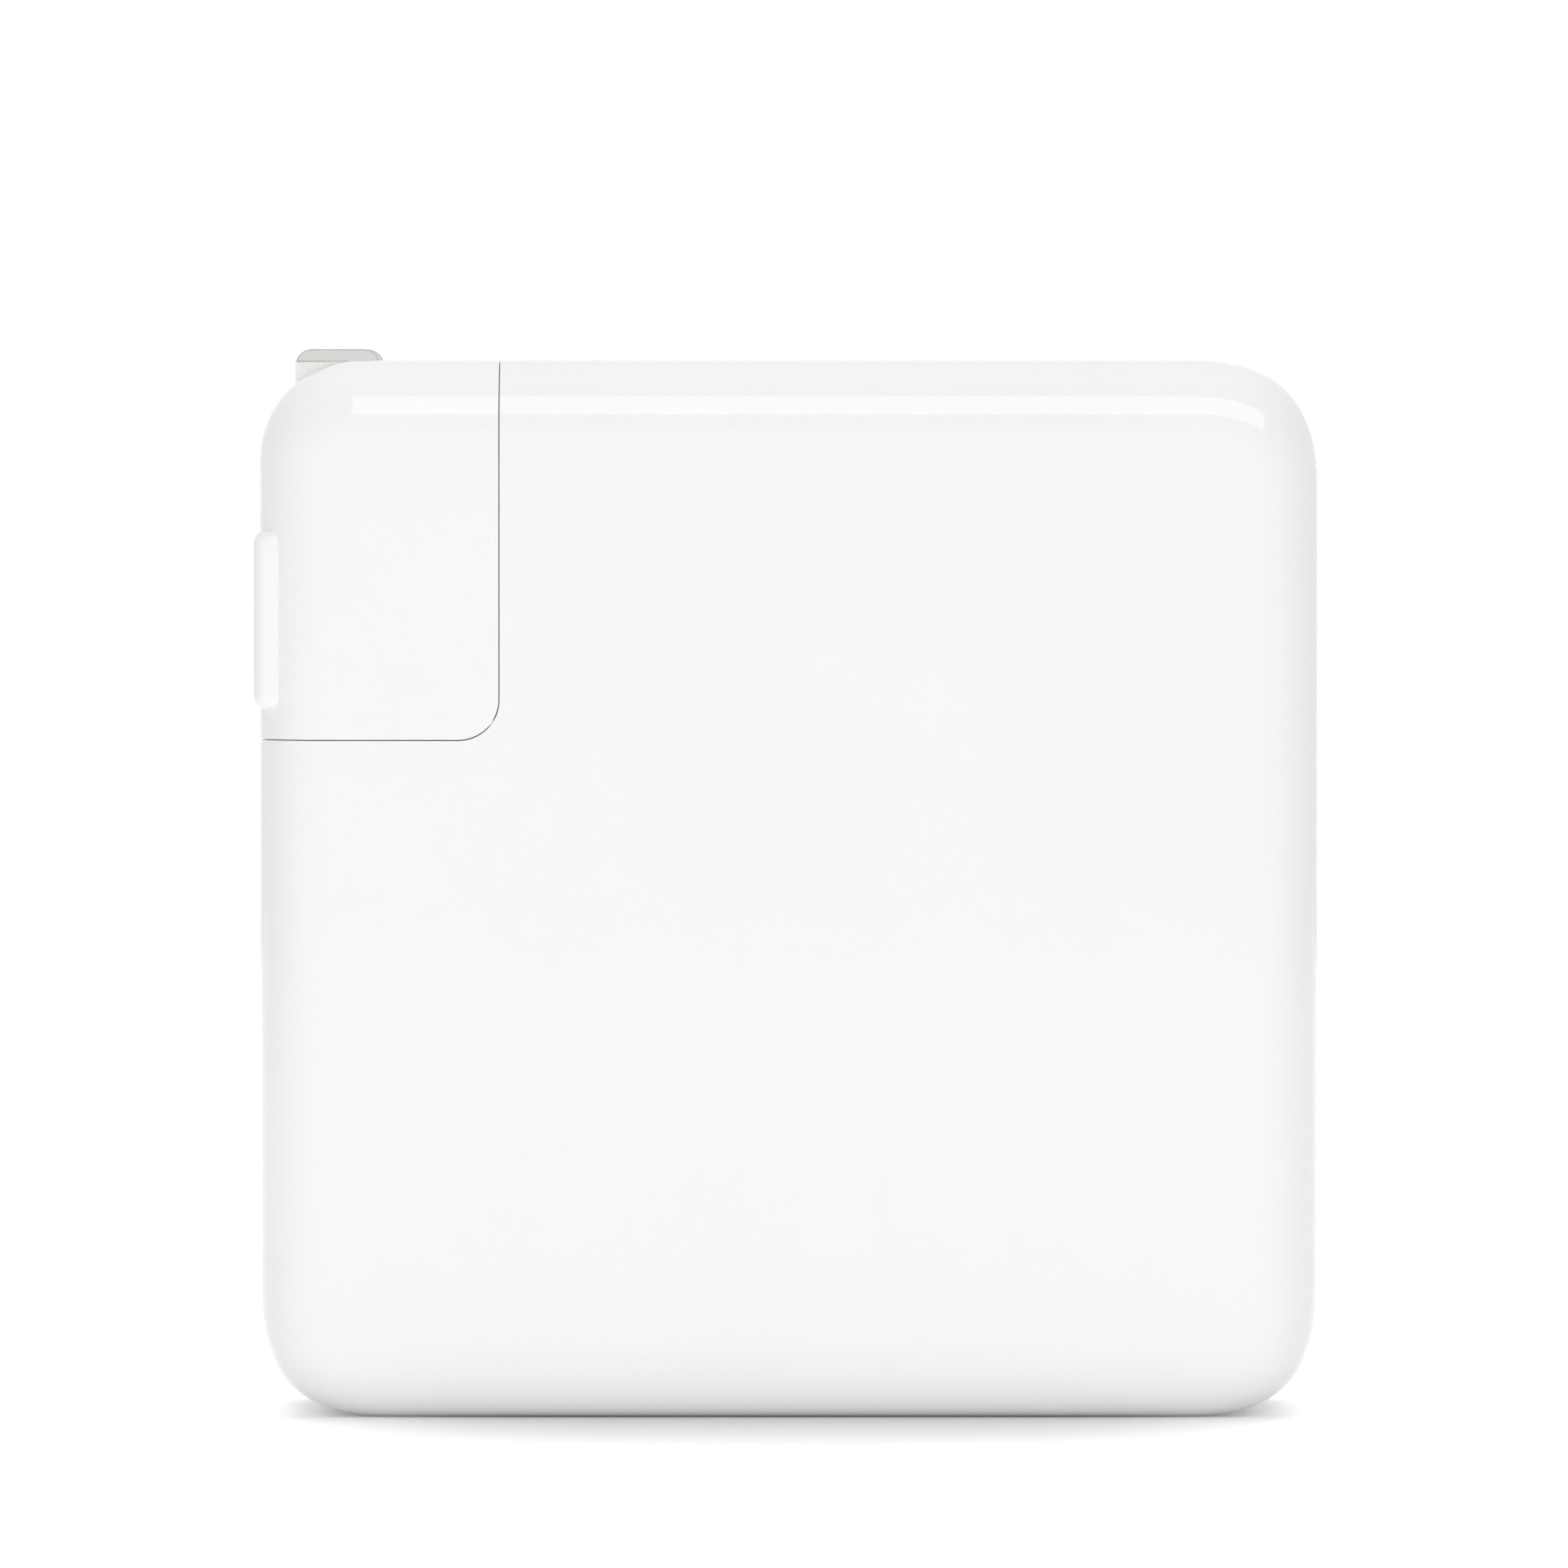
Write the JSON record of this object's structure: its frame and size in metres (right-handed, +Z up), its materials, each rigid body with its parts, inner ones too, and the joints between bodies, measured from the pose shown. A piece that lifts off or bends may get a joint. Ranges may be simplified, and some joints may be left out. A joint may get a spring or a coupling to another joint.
{
  "type": "laptop power adapter",
  "caption": "Square white USB-C laptop power adapter with a removable corner plug and flat mains blades that fold into it.",
  "frame": {"origin": "middle of the bottom edge face of the case, which it stands on", "axes": "+Z up along the height, +Y through the depth from the front face to the back face, +X to the right seen from the front, towards the charging port"},
  "size_m": [0.0804, 0.0286, 0.0808],
  "materials": {
    "case_white": "smooth polished white polycarbonate",
    "plug_white": "smooth polished white polycarbonate",
    "inlet_white": "fine matt white moulding",
    "base_white": "fine matt white moulding",
    "blade_nickel": "satin nickel plate with a fine grain",
    "pin_nickel": "bright nickel plate",
    "stud_steel": "turned stainless steel",
    "port_steel": "drawn stainless steel",
    "port_black": "matt black moulding",
    "contact_gold": "gold plate",
    "spring_bronze": "bare phosphor bronze",
    "hub_black": "matt black glass-filled moulding",
    "board_green": "green solder mask",
    "chip_black": "matt black epoxy",
    "film_amber": "amber insulating film",
    "spreader_copper": "rolled copper sheet",
    "pad_grey": "soft grey thermal pad",
    "ferrite_grey": "sintered dark grey ferrite",
    "bobbin_black": "matt black moulding",
    "tape_yellow": "yellow polyester tape",
    "winding_copper": "enamelled copper wire",
    "can_aluminium": "plain drawn aluminium",
    "case_yellow": "yellow boxed component",
    "case_blue": "blue lacquer",
    "heatsink_aluminium": "plain rolled aluminium"
  },
  "bodies": {
    "adapter": {"front_shell": "case_white", "rear_shell": "case_white", "inlet_block": "inlet_white", "inlet_pins": "pin_nickel", "inlet_leads": "winding_copper", "ground_stud": "stud_steel", "ground_nut": "stud_steel", "ground_strap": "spring_bronze", "usb_c_shell": "port_steel", "usb_c_tongue": "port_black", "usb_c_contacts": "contact_gold", "port_bracket": "bobbin_black", "port_board": "board_green", "port_controller": "chip_black", "link_pins": "contact_gold", "link_header": "bobbin_black", "main_board": "board_green", "board_chips": "chip_black", "front_heat_spreader": "spreader_copper", "front_insulator": "film_amber", "rear_heat_spreader": "spreader_copper", "rear_insulator": "film_amber", "transformer_core": "ferrite_grey", "transformer_bobbin": "bobbin_black", "transformer_winding": "tape_yellow", "pfc_choke_core": "ferrite_grey", "pfc_choke_bobbin": "bobbin_black", "pfc_choke_winding": "tape_yellow", "line_choke_core": "ferrite_grey", "line_choke_windings": "winding_copper", "x_capacitor": "case_yellow", "fuse": "chip_black", "varistor": "case_blue", "y_capacitor": "case_blue", "bridge_rectifier": "chip_black", "optocoupler": "chip_black", "bulk_capacitor_upper": "can_aluminium", "bulk_capacitor_lower": "can_aluminium", "output_capacitors": "can_aluminium", "transistor_heatsink": "heatsink_aluminium", "power_transistors": "chip_black", "thermal_pads": "pad_grey"},
    "plug": {"plug_housing": "plug_white", "plug_base": "base_white", "ground_rail": "spring_bronze", "socket_sleeves": "spring_bronze", "contact_springs": "spring_bronze", "detent_spring": "spring_bronze"},
    "prongs": {"prong_hub": "hub_black", "pivot_pin": "stud_steel", "front_blade": "blade_nickel", "rear_blade": "blade_nickel"}
  },
  "joints": [
    {"name": "plug_slide", "type": "slide", "parent": "adapter", "child": "plug", "axis": [0, 0, 1], "range_m": [0, 0.03]},
    {"name": "prong_fold", "type": "hinge", "parent": "plug", "child": "prongs", "pos_m": [-0.036, 0, 0.05861], "axis": [0, -1, 0], "range_deg": [0, 90]}
  ]
}
